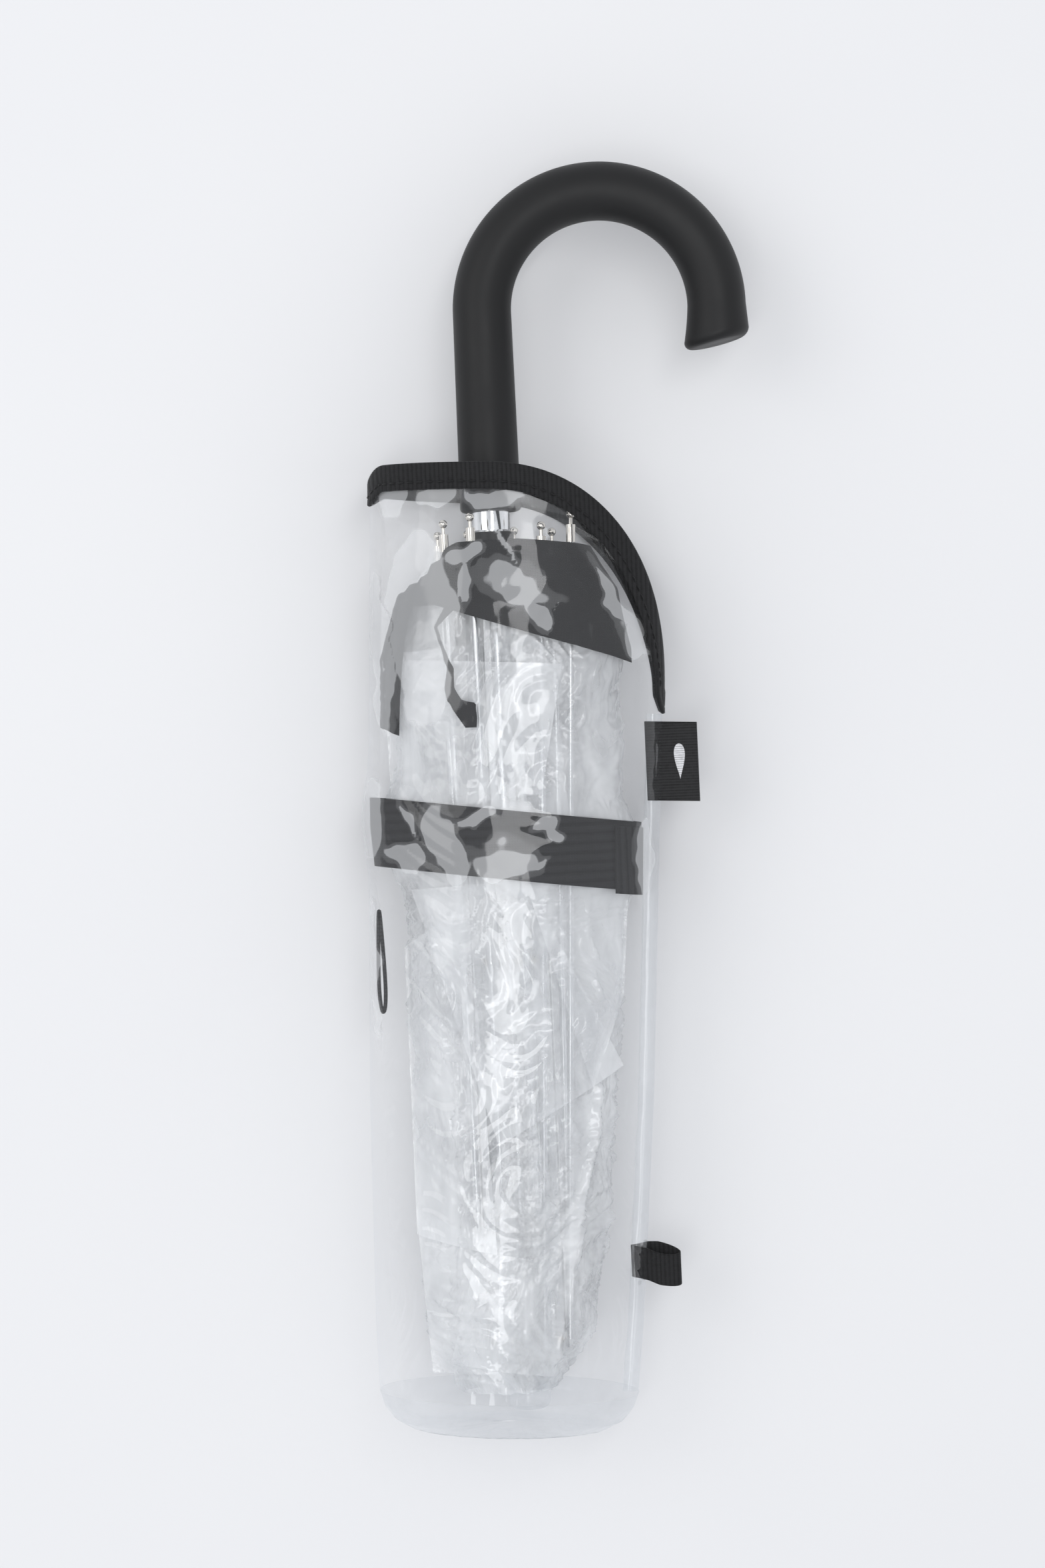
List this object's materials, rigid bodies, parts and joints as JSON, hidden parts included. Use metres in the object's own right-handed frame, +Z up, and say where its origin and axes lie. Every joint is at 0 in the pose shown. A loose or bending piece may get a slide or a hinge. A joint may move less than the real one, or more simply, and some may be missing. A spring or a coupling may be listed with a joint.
{
  "type": "folding umbrella",
  "caption": "Compact folding umbrella with clear film canopy and crook handle, folded and strapped in its clear film sleeve.",
  "frame": {"origin": "centre of the footprint, on the surface that the sleeve lies on", "axes": "+Y along the shaft towards the handle, +X towards the crook's free end, +Z up, away from the surface the sleeve lies on"},
  "size_m": [0.131, 0.398, 0.0565],
  "materials": {
    "handle_plastic": "soft-touch black",
    "chrome_plate": "bright plated",
    "shaft_steel": "plated tube",
    "spring_steel": "blued leaf",
    "runner_plastic": "moulded black",
    "notch_plastic": "clear moulded",
    "ring_wire": "drawn wire",
    "rib_metal": "satin channel",
    "rib_wire": "plated wire",
    "nickel_plate": "nickel plated",
    "canopy_film": "clear soft film",
    "sleeve_film": "clear soft film",
    "sleeve_seam": "welded clear film",
    "hem_fabric": "plain weave black",
    "strap_webbing": "ribbed black webbing",
    "hook_patch": "black hook tape",
    "elastic_tape": "black elastic",
    "binding_tape": "folded black tape, lock stitched",
    "label_weave": "blank woven black"
  },
  "bodies": {
    "umbrella": {"canopy_film": "canopy_film", "canopy_hem": "hem_fabric", "closing_strap": "strap_webbing", "inner_rib_1": "rib_metal", "inner_rib_2": "rib_metal", "inner_rib_3": "rib_metal", "inner_rib_4": "rib_metal", "inner_rib_5": "rib_metal", "inner_rib_6": "rib_metal", "inner_rib_7": "rib_metal", "inner_rib_8": "rib_metal", "middle_rib_1": "rib_metal", "middle_rib_2": "rib_metal", "middle_rib_3": "rib_metal", "middle_rib_4": "rib_metal", "middle_rib_5": "rib_metal", "middle_rib_6": "rib_metal", "middle_rib_7": "rib_metal", "middle_rib_8": "rib_metal", "notch_ring": "ring_wire", "outer_rib_1": "rib_wire", "outer_rib_2": "rib_wire", "outer_rib_3": "rib_wire", "outer_rib_4": "rib_wire", "outer_rib_5": "rib_wire", "outer_rib_6": "rib_wire", "outer_rib_7": "rib_wire", "outer_rib_8": "rib_wire", "rib_rivets": "nickel_plate", "rib_tips": "nickel_plate", "runner": "runner_plastic", "runner_ring": "ring_wire", "shaft_outer_tube": "shaft_steel", "strap_loop": "elastic_tape", "strap_patch": "hook_patch", "stretcher_1": "rib_metal", "stretcher_2": "rib_metal", "stretcher_3": "rib_metal", "stretcher_4": "rib_metal", "stretcher_5": "rib_metal", "stretcher_6": "rib_metal", "stretcher_7": "rib_metal", "stretcher_8": "rib_metal", "top_cap": "notch_plastic", "top_notch": "notch_plastic"},
    "mid_tube": {"shaft_middle_tube": "shaft_steel", "middle_catch": "spring_steel"},
    "handle": {"handle": "handle_plastic", "handle_ferrule": "chrome_plate", "handle_pin": "spring_steel", "shaft_inner_tube": "shaft_steel", "inner_catch": "spring_steel"},
    "sleeve": {"sleeve_film": "sleeve_film", "sleeve_base": "sleeve_film", "mouth_binding": "binding_tape", "side_seam": "sleeve_seam", "side_label": "label_weave", "hang_loop": "binding_tape"},
    "top_catch": {"top_catch": "spring_steel"}
  },
  "joints": [
    {"name": "middle_tube_slide", "type": "slide", "parent": "umbrella", "child": "mid_tube", "axis": [0, 1, 0], "range_m": [0, 0.15]},
    {"name": "handle_slide", "type": "slide", "parent": "mid_tube", "child": "handle", "axis": [0, 1, 0], "range_m": [0, 0.118]},
    {"name": "sleeve_slide", "type": "slide", "parent": "umbrella", "child": "sleeve", "axis": [-0.0532, -0.9986, 0], "range_m": [0, 0.33]},
    {"name": "top_catch_press", "type": "slide", "parent": "umbrella", "child": "top_catch", "axis": [0, 0, -1], "range_m": [0, 0.0018], "stiffness_N_per_m": 400}
  ]
}
